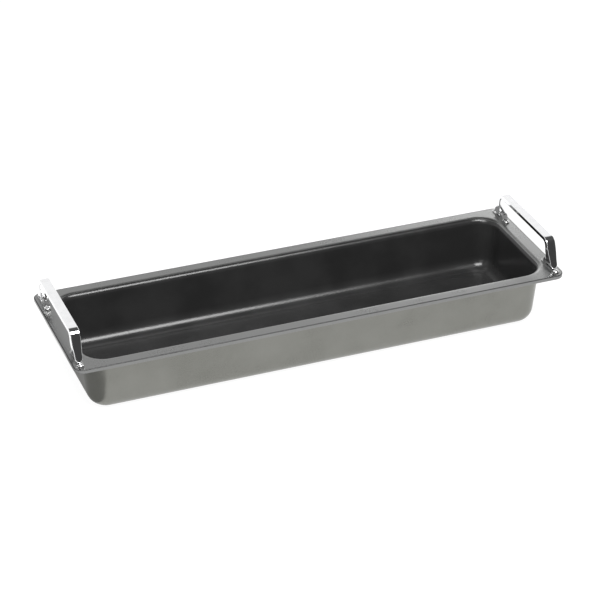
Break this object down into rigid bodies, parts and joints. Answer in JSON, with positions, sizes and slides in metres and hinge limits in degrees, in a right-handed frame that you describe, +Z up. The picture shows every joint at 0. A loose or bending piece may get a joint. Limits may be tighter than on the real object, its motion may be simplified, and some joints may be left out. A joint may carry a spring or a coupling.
{
  "type": "baguette tray",
  "caption": "Long rectangular cast tray with drafted walls, a flat rim all round and a folding strap handle on the rim at each short end.",
  "frame": {"origin": "middle of the tray's underside, on the surface it stands on", "axes": "+X along the tray's length, +Y across it, +Z up through the open top"},
  "size_m": [0.53, 0.162, 0.097],
  "materials": {
    "cast_aluminium": "satin grey outside, black non-stick inside",
    "polished_handle": "mirror polished",
    "hinge_bracket": "polished",
    "rivet": "bright"
  },
  "bodies": {
    "tray": {"tray_body": "cast_aluminium", "left_front_bracket": "hinge_bracket", "left_rear_bracket": "hinge_bracket", "right_front_bracket": "hinge_bracket", "right_rear_bracket": "hinge_bracket", "left_front_inner_rivet": "rivet", "left_front_outer_rivet": "rivet", "left_rear_inner_rivet": "rivet", "left_rear_outer_rivet": "rivet", "right_front_inner_rivet": "rivet", "right_front_outer_rivet": "rivet", "right_rear_inner_rivet": "rivet", "right_rear_outer_rivet": "rivet"},
    "left_handle": {"left_handle": "polished_handle"},
    "right_handle": {"right_handle": "polished_handle"}
  },
  "joints": [
    {"name": "left_handle_fold", "type": "hinge", "parent": "tray", "child": "left_handle", "pos_m": [-0.2577, 0, 0.0707], "axis": [0, 1, 0], "range_deg": [-90, 90]},
    {"name": "right_handle_fold", "type": "hinge", "parent": "tray", "child": "right_handle", "pos_m": [0.2577, 0, 0.0707], "axis": [0, -1, 0], "range_deg": [-90, 90]}
  ]
}
